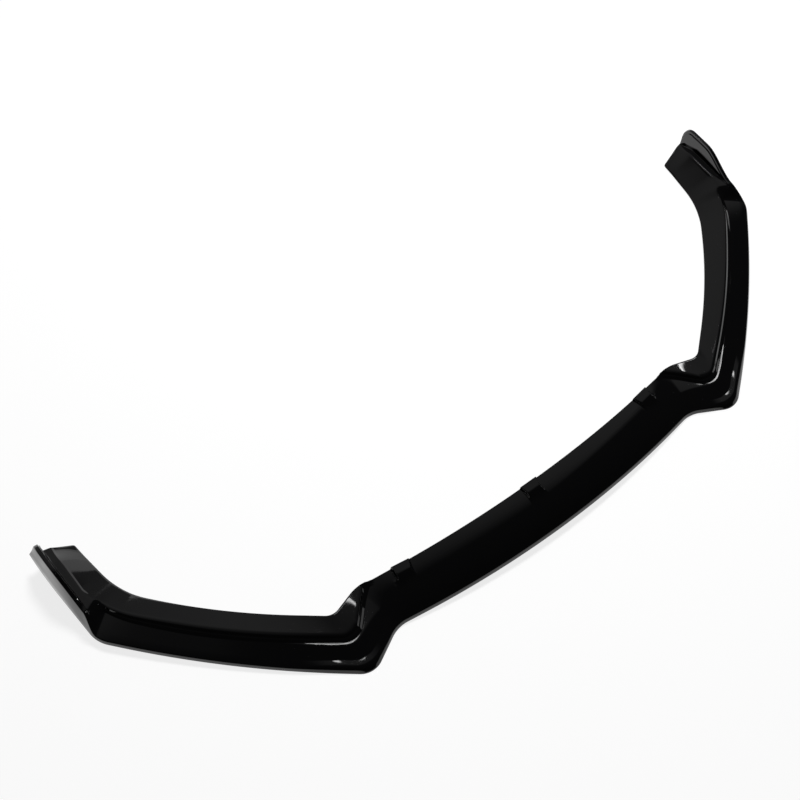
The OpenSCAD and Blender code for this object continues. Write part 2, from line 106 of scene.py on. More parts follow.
def length(name, description, default, low, high):
    """A length in metres for the sidebar."""
    return FloatProperty(name=name, description=description, default=default, min=low, max=high, unit="LENGTH",
                         precision=4)


class LipSizes(bpy.types.PropertyGroup):
    """Sizes of the moulding."""

    span: length("Span", "Width over the two fins", 1.7, 1.64, 1.76)
    depth: length("Depth", "Front corners of the wings to the rear ends of the fins", 0.563, 0.545, 0.59)
    wall: length("Wall", "Thickness of the moulding", 0.003, 0.0026, 0.0032)
    ribbon_w: length("Ribbon width", "Front to rear, at the middle", 0.0994, 0.09, 0.11)
    nose_rise: length("Nose rise", "Height of the ribbon's front edge at the middle", 0.014, 0.004, 0.024)
    crown_rise: length("Crown rise", "Height of the ribbon's rear edge at the middle", 0.053, 0.044, 0.064)
    throat_rise: length("Throat rise", "Height of the rear edge where ribbon and wing meet", 0.026, 0.02, 0.032)
    wing_bow: length("Wing bow", "Outward bow of the wing's outer edge", 0.024, 0.014, 0.032)
    rim_h: length("Rim height", "Height of the rolled front rim", 0.0096, 0.008, 0.014)
    band_w: length("Band width", "Width of the raised band inside the wing", 0.039, 0.034, 0.044)
    ridge_rise: length("Ridge rise", "Height of the ridge between band and riser", 0.03, 0.026, 0.034)
    foot_rise: length("Foot rise", "Height of the riser's foot on the blade", 0.02, 0.017, 0.022)
    fin_h: length("Fin height", "Top of the fin above the floor", 0.088, 0.08, 0.096)
    fin_top_w: length("Fin top width", "Width of the fin's rounded top", 0.008, 0.0075, 0.01)
    pad_w: length("Pad width", "Width of a pad at its foot", 0.041, 0.034, 0.05)
    pad_d: length("Pad depth", "Depth of a pad at its foot", 0.041, 0.034, 0.046)
    pad_top_d: length("Pad top depth", "Depth of a pad's level top", 0.019, 0.014, 0.024)
    pad_h: length("Pad height", "Top of a pad above the ribbon's rear edge", 0.007, 0.005, 0.012)
    mid_pad_x: length("Middle pad", "Place of the middle pad across the car", -0.009, -0.04, 0.04)


class LipFinish(bpy.types.PropertyGroup):
    """Finish of the moulding."""

    colour: FloatVectorProperty(name="Colour", description="Colour of the plastic", subtype="COLOR", size=3,
                                default=(0.0022, 0.0022, 0.0024), min=0, max=1)
    sheen: FloatProperty(name="Roughness", description="Roughness of the gloss", default=0.035, min=0, max=1)
    haze: FloatProperty(name="Haze", description="Roughness that the haziest places add", default=0.02, min=0, max=1)
    peel: length("Peel depth", "Depth of the faint waviness of the gloss", 0.00002, 0, 0.0005)


class StudioSettings(bpy.types.PropertyGroup):
    """Floor, lamps and view."""

    floor: FloatVectorProperty(name="Floor", description="Colour of the floor and the backdrop", subtype="COLOR",
                               size=3, default=(0.25, 0.25, 0.25), min=0, max=1)
    sky: FloatProperty(name="Soft light", description="Brightness of the wide soft light behind the lip", default=1.0,
                       min=0, max=4)
    key: FloatProperty(name="Key lamp", description="Light of the key lamp on a level surface", default=0.75, min=0,
                       max=4)
    glints: FloatProperty(name="Glints", description="Brightness of the narrow lamps that draw the highlights",
                          default=24, min=0, max=200)
    lens: FloatProperty(name="Lens", description="Focal length in millimetres", default=53.17, min=20, max=200)


# Studio

# Turn from the rear towards the right, rise and roll of the soft light, then half its width and height with the
# width of their soft edges, its levels from bottom to top, and the level of the rest of the room
SKY_TURN = (0.183, 0.511, 0.251)
SKY_SHAPE = ((1.185, 0.289), (0.881, 2.0), (0.154, 0.369), 0.016)
KEY_PLACE, KEY_SIZE = (1.09, 1.30, 3.06), 0.8
# How far the pale backdrop rises above the horizon, as a direction's height
HORIZON = 0.073
FLOOR_RADIUS, FLOOR_SIDES = 30.0, 128
# How much the floor, and the world beyond it, glow for rays that see the background
PAPER_GLOW, FAR_GLOW = 0.8, 0.85
# Narrow lamps: name, place, the point of the lip that they light, how far around it, width, height and brightness
GLINTS = (
    ("glint_right_corner", (1.972, 0.451, 2.529), (0.49, -0.245, 0.015), 0.085, 0.26, 0.26, 1.0),
    ("glint_left_corner", (-0.132, 0.549, 2.886), (-0.49, -0.245, 0.015), 0.085, 0.24, 0.24, 0.8),
    ("glint_right_fin", (1.09, 1.47, 3.01), (0.80, 0.17, 0.045), 0.08, 0.5, 0.5, 2.0),
    ("glint_left_fin", (0.55, -0.95, 2.45), (-0.820, 0.135, 0.055), 0.07, 0.2, 0.2, 2.0),
)


# Shape

def ramp(x, a, b):
    """0 below a, 1 above b, and between them 3 t squared minus 2 t cubed."""
    t = np.clip((x - a) / (b - a), 0, 1)
    return t * t * (3 - 2 * t)


def mix(a, b, t):
    """a plus t times the way to b."""
    return a + (b - a) * t


def column(q):
    """A row of values, one per section, as a column."""
    return q[:, None]


def soft_min(a, b, k):
    """The lower of two surfaces, with their crossing rounded over a height k by a parabola."""
    h = np.clip(0.5 + 0.5 * (b - a) / k, 0, 1)
    return mix(b, a, h) - k * h * (1 - h)


def soft_max(a, b, k):
    """The higher of two surfaces, with their crossing filled over a height k."""
    return -soft_min(-a, -b, k)


def bowed(a, b, h):
    """The point h to the right of the middle of the line from a to b."""
    d = (b - a) / np.hypot(*(b - a))
    return (a + b) / 2 + h * np.array([d[1], -d[0]])


class Rail:
    """A line of straight runs joined by arcs. A radius below zero opens as far as its neighbours leave room."""

    def __init__(self, points, radii):
        self.v, self.r = np.array(points, float), np.array(radii, float)
        run = np.diff(self.v, axis=0)
        self.run = np.hypot(*run.T)
        self.d = run / column(self.run)
        a, b = self.d[:-1], self.d[1:]
        self.turn = np.zeros(len(self.v))
        self.turn[1:-1] = np.arctan2(a[:, 0] * b[:, 1] - a[:, 1] * b[:, 0], (a * b).sum(1))
        for k in np.nonzero(self.r < 0)[0]:
            taken = abs(self.r * np.tan(self.turn / 2))
            room = min(self.run[k - 1] - taken[k - 1], self.run[k] - taken[k + 1])
            self.r[k] = min(-self.r[k], 0.92 * room / math.tan(abs(self.turn[k]) / 2))
        self.cut = abs(self.r * np.tan(self.turn / 2))
        self.half = abs(self.r * self.turn / 2)

    def arc(self, k, s):
        """Points on the arc at vertex k, s past its middle: the centre less the radius turned by s over the radius."""
        d, side = self.d[k - 1], np.sign(self.turn[k])
        n = side * np.array([-d[1], d[0]])
        a = side * (abs(self.turn[k]) / 2 + s / self.r[k])
        turned = np.stack([n[0] * np.cos(a) - n[1] * np.sin(a), n[0] * np.sin(a) + n[1] * np.cos(a)], -1)
        return self.v[k] - d * self.cut[k] + n * self.r[k] - self.r[k] * turned

    def at(self, u):
        """Points at the stations u, spaced by length between the middles of the arcs at two whole numbers."""
        out = np.zeros((len(u), 2))
        leg = np.minimum(np.floor(u), len(self.v) - 2)
        for k in range(len(self.v) - 1):
            here = leg == k
            a, b = self.half[k], self.half[k + 1]
            run = self.run[k] - self.cut[k] - self.cut[k + 1]
            s = (u[here] - k) * (a + run + b)
            p = self.v[k] + self.d[k] * column(self.cut[k] + s - a)
            if a:
                p = np.where(column(s < a), self.arc(k, s), p)
            if b:
                p = np.where(column(s > a + run), self.arc(k + 1, s - a - run - b), p)
            out[here] = p
        return out


def lead(y0, p, r):
    """The vertex on the line y = y0 whose arc starts at x = 0 and aims at p, and that arc's radius.

    The arc reaches r tan(half turn) from its vertex, and that is the vertex's x.
    Where r is too large, the vertex stays at 0.47 of the way and the radius gives way."""
    t = np.linspace(0, 0.47 * p[0], 40001)[1:]
    bend = np.tan(np.arctan2(p[1] - y0, p[0] - t) / 2)
    meets = np.nonzero(r * bend <= t)[0]
    k = meets[0] if len(meets) else -1
    return np.array([t[k], y0]), t[k] / bend[k]


def lay_rails(f):
    """The rim and the inner edge of half the lip, with the throat, hip and knee of the edge."""
    notch, corner = np.array([f.notch_x, f.notch_y]), np.array([f.corner_x, -f.corner_lead])
    kink, fin = np.array([f.span / 2 - f.kink_in, f.kink_y]), np.array([f.span / 2 - FIN_IN, f.depth])
    throat, hip = notch + [f.throat_dx, f.ribbon_w + f.throat_gain], corner + [f.hip_dx, f.hip_dy]
    knee, toe = kink + [-f.knee_dx, f.knee_dy], fin - [f.toe_dx, f.toe_dy]
    f.rear = f.nose_setback + f.ribbon_w
    front_lead, front_r = lead(f.nose_setback, notch, f.nose_radius)
    rear_lead, f.rear_r = lead(f.rear, throat, f.nose_radius + f.ribbon_w + f.edge_ease)
    rim = Rail([(0, f.nose_setback), front_lead, notch, corner,
                bowed(corner, kink, f.wing_bow), kink, (fin[0], mix(f.kink_y, f.depth, FIN_BOW_AT)), fin],
               [0, front_r, f.notch_r, f.corner_r, -1e9, f.kink_r, -1e9, 0])
    edge = Rail([(0, f.rear), rear_lead, throat, hip, bowed(hip, knee, f.edge_bow), knee,
                 mix(knee, toe, TOE_BOW_AT) + [TOE_BOW, 0], toe],
                [0, f.rear_r, f.throat_r, f.hip_r, -1e9, f.knee_r, -TOE_BOW_R, 0])
    return rim, edge, throat, hip, knee


def sections(f, u):
    """Corners (n, z) of the top and the underside at every station, n running from the rim to the inner edge.

    The ribbon's height falls from the rear edge by a power of the distance from it. The wing's is a straight blade, a
    riser of two steps and a straight band. One blends into the other by a ramp on x, and the fin's wall replaces
    rim and blade by a ramp on the station."""
    rim, edge, throat, hip, knee = lay_rails(f)
    r, e = rim.at(u), edge.at(u)
    e[:, 0] += f.toe_r * (1 - np.sqrt(np.maximum(0, 1 - np.maximum(0, (u - TOE_FROM) / (TIP - TOE_FROM)) ** 2)))
    w, x = np.hypot(*(e - r).T), e[:, 0]
    fin = ramp(u, FIN_FROM, FIN_TO)
    near_corner = ramp(u, ROLL_FROM, CORNER) * (1 - ramp(u, ROLL_HELD, ROLL_TO))
    rim_z = np.where(u < NOTCH, f.nose_rise * np.maximum(0, 1 - (r[:, 0] / f.notch_x) ** 2), 0)
    rim_z = rim_z + np.where(u > CORNER, f.tip_rise * np.maximum(0, r[:, 1]) / f.depth, 0)
    rim_z = rim_z + f.fin_sweep * ramp(u, SWEEP_FROM, TIP)
    end = np.sqrt(np.maximum(0, 1 - np.maximum(0, (u - FIN_ROUND) / (FIN_ROUND_END - FIN_ROUND)) ** 2))
    fin_top = mix(f.fin_front_h, f.fin_h, ramp(u, CLIMB_FROM, CLIMB_TO)) * mix(FIN_END, 1, end)
    top = mix(rim_z + f.rim_h + f.corner_roll * ROLL_LIFT * near_corner, fin_top, fin)
    n1 = mix(f.rim_lean + f.corner_roll * near_corner, f.fin_lean, fin)
    rear_z = np.where(x < throat[0], f.throat_rise + (f.crown_rise - f.throat_rise) * (1 - (x / throat[0]) ** 2),
                      f.throat_rise - HIP_DROP * ramp(x, throat[0], hip[0]))
    low = np.clip((e[:, 1] - hip[1] - FALL_LAG) / (knee[1] - hip[1] - FALL_LAG - FALL_LEAD), 0, 1)
    inner_z = np.where(u < CORNER, f.band_rise + HIP_LIFT * (1 - ramp(x, throat[0], hip[0])),
                       mix(f.band_rise, f.wall, low))
    down = f.ledge_drop * ramp(u, DROP_FROM, TIP)
    ridge_z = f.ridge_rise + RIDGE_LIFT * (1 - ramp(u, ROLL_FROM, CORNER))
    ridge_z = mix(ridge_z + f.ridge_climb * ramp(u, RIDGE_FROM, RIDGE_TO), f.fin_ridge_rise - down, fin)
    foot_z = mix(f.foot_rise + FOOT_LIFT * ramp(u, CORNER, WING) + FOOT_CLIMB * ramp(u, WING, KINK),
                 f.ledge_rise - down, fin)
    ridge_m = mix(f.band_w, np.minimum(f.fin_band_w, w - f.fin_ridge_in), ramp(u, WIDEN_FROM, WIDEN_TO))
    foot_m = mix(f.riser_to, w - f.fin_foot_in, fin)
    out = np.where(u < CORNER, f.band_end_slope * np.maximum(0, hip[0] - f.band_end_in - x), 0)
    wing = ramp(x, f.notch_x - WING_LEAD, hip[0] + WING_LAG)
    knots = mix(column(foot_m), column(ridge_m), mix(STEP_W, FIN_STEP_W, column(fin)))
    rise = np.diff(mix(STEP_H, FIN_STEP_H, column(fin)), axis=1)

    def base(m):
        t = np.clip((column(w - n1) - m) / column(w - n1), 0, 1)
        ribbon = column(rear_z) - column(rear_z - top) * (1 - t) ** f.ribbon_curve
        blade = np.clip((column(w - n1 - f.level_rim * near_corner) - m)
                        / column(w - n1 - foot_m - (f.level_rim + f.level_foot) * near_corner), 0, 1)
        return mix(ribbon, mix(column(top), column(foot_z), blade), column(wing))

    def surface(m):
        fall = [np.clip((knots[:, i:i + 1] - m - column(out)) / (knots[:, i:i + 1] - knots[:, i + 1:i + 2]), 0, 1)
                for i in range(4)]
        band = mix(column(inner_z), column(ridge_z),
                   np.clip(m / column(ridge_m - f.level_ridge * near_corner), 0, 1))
        return mix(base(m), band, sum(rise[:, i:i + 1] * t for i, t in enumerate(fall)))

    crease = mix(5, 0.9, ramp(x, f.notch_x - WING_LEAD, throat[0]))
    m = np.maximum(knots - column(out), column(crease) * (5 - np.arange(5)))
    riser = np.stack([column(w) - m, surface(m)], -1)
    n2 = np.minimum(n1 + mix(16, f.fin_top_w, fin), riser[:, 0, 0] - 1.5)
    z2 = mix(base(column(w - n2))[:, 0], top, fin)
    t = np.arange(1, SWELLS + 1) / (SWELLS + 1)
    n = mix(column(n2), riser[:, :1, 0], t)
    z = mix(base(column(w) - n), mix(column(z2), riser[:, :1, 1], t), np.minimum(1, 4 * column(fin)))
    point = lambda a, b: np.stack([a, b], -1)[:, None]
    upper = np.concatenate([point(0 * u, rim_z), point(n1, top), point(n2, z2), np.stack([n, z], -1), riser,
                            point(w, surface(column(0 * u))[:, 0])], 1)
    return upper, r, e, w, fin, near_corner


def underside(f, p, fin):
    """The top's corners, thinned, moved to the right of their line by the wall. The fin keeps a solid top."""
    share = column(fin * np.minimum(0.3, 9 / (p[:, 1, 1] - p[:, 0, 1])))
    foot, last = p.shape[1] - 6, p.shape[1] - 1
    crest = np.stack([mix(p[:, 1], p[:, 0], share), mix(p[:, 2], p[:, foot], share)], 1)
    q = np.concatenate([p[:, :1], crest, p[:, 4:foot - 1:2], p[:, [foot, last - 1, last]]], 1)
    d = np.diff(q, axis=1)
    d = d / np.linalg.norm(d, axis=-1, keepdims=True)
    a, b = np.concatenate([d[:, :1], d], 1), np.concatenate([d, d[:, -1:]], 1)
    a, b = (np.stack([v[..., 1], -v[..., 0]], -1) for v in (a, b))
    q = q + f.wall * (a + b) / np.maximum(0.5, 1 + (a * b).sum(-1, keepdims=True))
    q[:, 0, 1] = p[:, 0, 1]
    return q


def round_corner(a, b, c, r, n):
    """n points on corner b between a and c: a rational arc whose ends lie r tan(half turn) along each side."""
    la, lc = np.linalg.norm(b - a, axis=1), np.linalg.norm(c - b, axis=1)
    q, g = (b - a) / column(la), (c - b) / column(lc)
    half = np.arccos(np.clip((q * g).sum(1), -1, 1)) / 2
    room = np.minimum(la, lc)
    t = column(room * np.clip(r * np.tan(half) / room, 0.2, 0.46))
    s = (np.linspace(0, 1, n) if n > 1 else np.array([0.5]))[None, :, None]
    k = [(1 - s) ** 2, 2 * s * (1 - s) * np.cos(half)[:, None, None], s * s]
    pts = [(b - q * t)[:, None], b[:, None], (b + g * t)[:, None]]
    return sum(i * j for i, j in zip(k, pts)) / sum(k)


def closed_rings(f, u):
    """Every section as one closed ring of points: the top's corners, then the underside's, each rounded."""
    p, r, e, w, fin, near_corner = sections(f, u)
    low = underside(f, p, fin)
    ring = np.concatenate([p, low[:, ::-1]], 1)
    roll = mix(4 + 18 * near_corner, 4, fin)
    # Radius, points on the corner and points on the run after it
    plan = [(0.8, 4, 2), (roll, 9, 0), (mix(25, 4, fin), 5, 0)] + [(40, 1, 0)] * SWELLS
    plan += [(mix(8, 3, fin), 7, 0), (1.5, 4, 0), (2, 3, 0), (1.5, 4, 0), (12, 7, 12), (1, 4, 1)]
    plan += [(0.7, 3, 12), (10, 4, 3), (10, 3, 0)] + [(40, 1, 0)] * (low.shape[1] - 6)
    plan += [(3, 2, 0), (3, 3, 3), (0.8, 3, 0)]
    n = ring.shape[1]
    corners = [round_corner(ring[:, k - 1], ring[:, k], ring[:, (k + 1) % n], rad, c)
               for k, (rad, c, _) in enumerate(plan)]
    parts = []
    for k, (_, _, fill) in enumerate(plan):
        parts.append(corners[k])
        if fill:
            t = (np.arange(1, fill + 1) / (fill + 1))[None, :, None]
            parts.append(mix(corners[k][:, -1:], corners[(k + 1) % n][:, :1], t))
    q = np.concatenate(parts, 1)
    top_count = sum(c + fill for _, c, fill in plan[:p.shape[1]])
    d = (e - r) / column(w)
    xy = r[:, None] + d[:, None] * q[..., :1]
    return np.concatenate([xy, q[..., 1:]], -1), top_count


def pad_block(f, at, x, y, inset):
    """Height of a pad's block over (x, y): the lowest of a level top, a long front slope, two drafted sides and a
    near upright back, with rounded crossings. Set in by the wall it is the hollow below."""
    theta = math.asin(at / f.rear_r)
    y0 = f.rear + f.rear_r - math.sqrt(f.rear_r ** 2 - at ** 2)
    s = (x - at) * math.cos(theta) + (y - y0) * math.sin(theta)
    m = (x - at) * math.sin(theta) - (y - y0) * math.cos(theta)
    rear = f.throat_rise + (f.crown_rise - f.throat_rise) * (1 - (at / (f.notch_x + f.throat_dx)) ** 2)
    top, foot = rear + f.pad_h - inset, rear - PAD_SUNK - inset
    deep, half = f.pad_d - inset, f.pad_w / 2 - inset
    level = f.pad_top_d - inset / 2
    slope = foot + (top - foot) * (deep - m) / (deep - level)
    narrow = mix(half - f.pad_draft / 4, half - f.pad_draft, np.clip(m / level, 0, 1))
    side = foot + (top - foot) * (half - abs(s)) / (half - narrow)
    back = foot + (top - foot) * (m - inset + PAD_BACK) / PAD_BACK
    block = soft_min(soft_min(top + 0 * m, slope, PAD_TOP_SOFT), side, PAD_SIDE_SOFT)
    return soft_min(block, back, PAD_BACK_SOFT)


def moulding_points(f):
    """Rings of the whole lip from one fin's end to the other, in millimetres, with the pads raised on them."""
    u = np.concatenate([np.linspace(a, b, n + 1)[:-1] for a, b, n in STRETCHES] + [[TIP]])
    half, top_count = closed_rings(f, u)
    rings = np.concatenate([half[:0:-1] * [-1, 1, 1], half], 0)
    x, y, z = rings[..., 0], rings[..., 1], rings[..., 2].copy()
    upper, lower = np.s_[:, :top_count], np.s_[:, top_count:]
    for at in (-f.side_pad_x, f.mid_pad_x, f.side_pad_x):
        raised = soft_max(z[upper], pad_block(f, at, x[upper], y[upper], 0), PAD_FILLET)
        z[upper] = np.maximum(z[upper], raised * near(f, at, x[upper], y[upper]))
        z[lower] = np.maximum(z[lower], pad_block(f, at, x[lower], y[lower], f.wall))
    rings[..., 2] = np.maximum(0, z)
    rings[..., 1] -= f.depth / 2
    return rings


def near(f, at, x, y):
    """1 within a pad's reach and 0 elsewhere, so that its fillet ends on the ribbon."""
    return (abs(x - at) < f.pad_w * 0.8) & (y > f.rear - f.pad_d * 1.3)


def ring_mesh(name, rings):
    """A mesh of four-sided faces between neighbouring rings, with one face at each end, pointing outwards."""
    count, n = rings.shape[:2]
    i, k = np.meshgrid(np.arange(count - 1), np.arange(n), indexing="ij")
    a, b = i * n + k, i * n + (k + 1) % n
    quads = np.stack([a, a + n, b + n, b], -1).reshape(-1, 4)
    p = rings.reshape(-1, 3)
    t = p[quads]
    volume = np.einsum("ij,ij->", t[:, 0], np.cross(t[:, 1], t[:, 2]) + np.cross(t[:, 2], t[:, 3]))
    caps = np.stack([np.arange(n), (count - 1) * n + np.arange(n)[::-1]])
    if volume < 0:
        quads, caps = quads[:, ::-1], caps[:, ::-1]
    mesh = bpy.data.meshes.new(name)
    mesh.vertices.add(len(p))
    mesh.vertices.foreach_set("co", p.astype(np.float32).ravel())
    loops = np.concatenate([quads.ravel(), caps.ravel()])
    mesh.loops.add(len(loops))
    mesh.loops.foreach_set("vertex_index", loops.astype(np.int32))
    sizes = np.concatenate([np.full(len(quads), 4), np.full(2, n)])
    mesh.polygons.add(len(sizes))
    mesh.polygons.foreach_set("loop_start", (np.cumsum(sizes) - sizes).astype(np.int32))
    mesh.update(calc_edges=True)
    mesh.validate()
    mesh.shade_smooth()
    mesh.set_sharp_from_angle(angle=math.radians(50))
    return mesh


# Materials

def group_socket(group, name, way, kind, default=None):
    """A named input or output of a shader node group."""
    socket = group.interface.new_socket(name=name, in_out=way, socket_type=kind)
    if default is not None:
        socket.default_value = default
    return socket


def gloss_skin():
    """Faint waviness and haze of a glossy moulding: colour, roughness and height over Object coordinates."""
    g = bpy.data.node_groups.new("gloss_skin", "ShaderNodeTree")
    group_socket(g, "Roughness", "INPUT", "NodeSocketFloat", 0.1)
    group_socket(g, "Haze", "INPUT", "NodeSocketFloat", 0.04)
    group_socket(g, "Colour", "INPUT", "NodeSocketColor", (0, 0, 0, 1))
    group_socket(g, "Dust", "INPUT", "NodeSocketColor", (0.01, 0.01, 0.01, 1))
    group_socket(g, "Colour", "OUTPUT", "NodeSocketColor")
    group_socket(g, "Roughness", "OUTPUT", "NodeSocketFloat")
    group_socket(g, "Height", "OUTPUT", "NodeSocketFloat")
    n, link = g.nodes, g.links.new
    given, out = n.new("NodeGroupInput"), n.new("NodeGroupOutput")
    where = n.new("ShaderNodeTexCoord").outputs["Object"]

    def noise(scale, detail, rough=0.5):
        node = n.new("ShaderNodeTexNoise")
        node.inputs["Scale"].default_value = scale
        node.inputs["Detail"].default_value = detail
        node.inputs["Roughness"].default_value = rough
        link(where, node.inputs["Vector"])
        return node.outputs["Fac"]

    def sum_of(a, b, by=1.0):
        node = n.new("ShaderNodeMath")
        node.operation = "MULTIPLY_ADD"
        link(a, node.inputs[0])
        if isinstance(by, float):
            node.inputs[1].default_value = by
        else:
            link(by, node.inputs[1])
        link(b, node.inputs[2])
        return node.outputs[0]

    haze = n.new("ShaderNodeMapRange")
    haze.inputs["From Min"].default_value, haze.inputs["From Max"].default_value = 0.42, 0.7
    link(noise(9, 4, 0.6), haze.inputs["Value"])
    link(sum_of(haze.outputs["Result"], given.outputs["Roughness"], given.outputs["Haze"]), out.inputs["Roughness"])
    specks = n.new("ShaderNodeMapRange")
    specks.inputs["From Min"].default_value, specks.inputs["From Max"].default_value = 0.55, 0.9
    link(noise(260, 3, 0.7), specks.inputs["Value"])
    tint = n.new("ShaderNodeMix")
    tint.data_type = "RGBA"
    link(specks.outputs["Result"], tint.inputs["Factor"])
    link(given.outputs["Colour"], tint.inputs["A"])
    link(given.outputs["Dust"], tint.inputs["B"])
    link(tint.outputs["Result"], out.inputs["Colour"])
    link(sum_of(noise(34, 2), noise(210, 2), 2.5), out.inputs["Height"])
    return g


def lip_material(finish):
    """Gloss black plastic: near black colour under a clear reflection."""
    mat = bpy.data.materials.new("gloss_black_plastic")
    mat.use_nodes = True
    nodes, link = mat.node_tree.nodes, mat.node_tree.links.new
    shader = nodes["Principled BSDF"]
    skin = nodes.new("ShaderNodeGroup")
    skin.node_tree = gloss_skin()
    skin.inputs["Roughness"].default_value = finish.sheen
    skin.inputs["Haze"].default_value = finish.haze
    skin.inputs["Colour"].default_value = (*finish.colour, 1)
    skin.inputs["Dust"].default_value = (*[c * 1.6 for c in finish.colour], 1)
    bump = nodes.new("ShaderNodeBump")
    bump.inputs["Strength"].default_value = 0.5
    bump.inputs["Distance"].default_value = finish.peel
    link(skin.outputs["Colour"], shader.inputs["Base Color"])
    link(skin.outputs["Roughness"], shader.inputs["Roughness"])
    link(skin.outputs["Height"], bump.inputs["Height"])
    link(bump.outputs["Normal"], shader.inputs["Normal"])
    shader.inputs["IOR"].default_value = 1.5
    return mat


def seen_rays(nodes, link):
    """1 for rays from the camera, from gloss and through clear matter, and 0 for the rest."""
    path = nodes.new("ShaderNodeLightPath")
    seen = path.outputs["Is Camera Ray"]
    for ray in ("Is Glossy Ray", "Is Transmission Ray"):
        either = nodes.new("ShaderNodeMath")
        either.operation = "MAXIMUM"
        link(seen, either.inputs[0])
        link(path.outputs[ray], either.inputs[1])
        seen = either.outputs[0]
    return seen


def backdrop_material(colour):
    """Pale paper that a camera, and any gloss, sees as white, and that keeps the shadow of what stands on it."""
    mat = bpy.data.materials.new("pale_paper")
    mat.use_nodes = True
    nodes, link = mat.node_tree.nodes, mat.node_tree.links.new
    nodes.clear()
    seen = seen_rays(nodes, link)
    fade = nodes.new("ShaderNodeMath")
    fade.operation = "MULTIPLY"
    fade.inputs[1].default_value = PAPER_GLOW
    link(seen, fade.inputs[0])
    glow, paper, both = (nodes.new(k) for k in ("ShaderNodeEmission", "ShaderNodeBsdfDiffuse", "ShaderNodeAddShader"))
    paper.inputs["Color"].default_value = (*colour, 1)
    link(fade.outputs[0], glow.inputs["Strength"])
    link(paper.outputs[0], both.inputs[0])
    link(glow.outputs[0], both.inputs[1])
    link(both.outputs[0], nodes.new("ShaderNodeOutputMaterial").inputs["Surface"])
    return mat


def add(name, data):
    """A new object at the origin, in the scene's collection."""
    obj = bpy.data.objects.new(name, data)
    bpy.context.scene.collection.objects.link(obj)
    return obj


# Operators

class LIP_OT_moulding(bpy.types.Operator):
    """Build the lip's one moulding, with its ribbon, wings, band, fins and pads"""

    bl_idname = "lip.moulding"
    bl_label = "Moulding"

    def execute(self, context):
        sizes = context.scene.lip_sizes
        f = SimpleNamespace(**FORM, **{k: getattr(sizes, k) / MM for k in LipSizes.__annotations__})
        lip = add("lip_moulding", ring_mesh("lip_moulding", moulding_points(f) * MM))
        lip.data.materials.append(lip_material(context.scene.lip_finish))
        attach(lip, "root")
        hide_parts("lip")
        return {"FINISHED"}


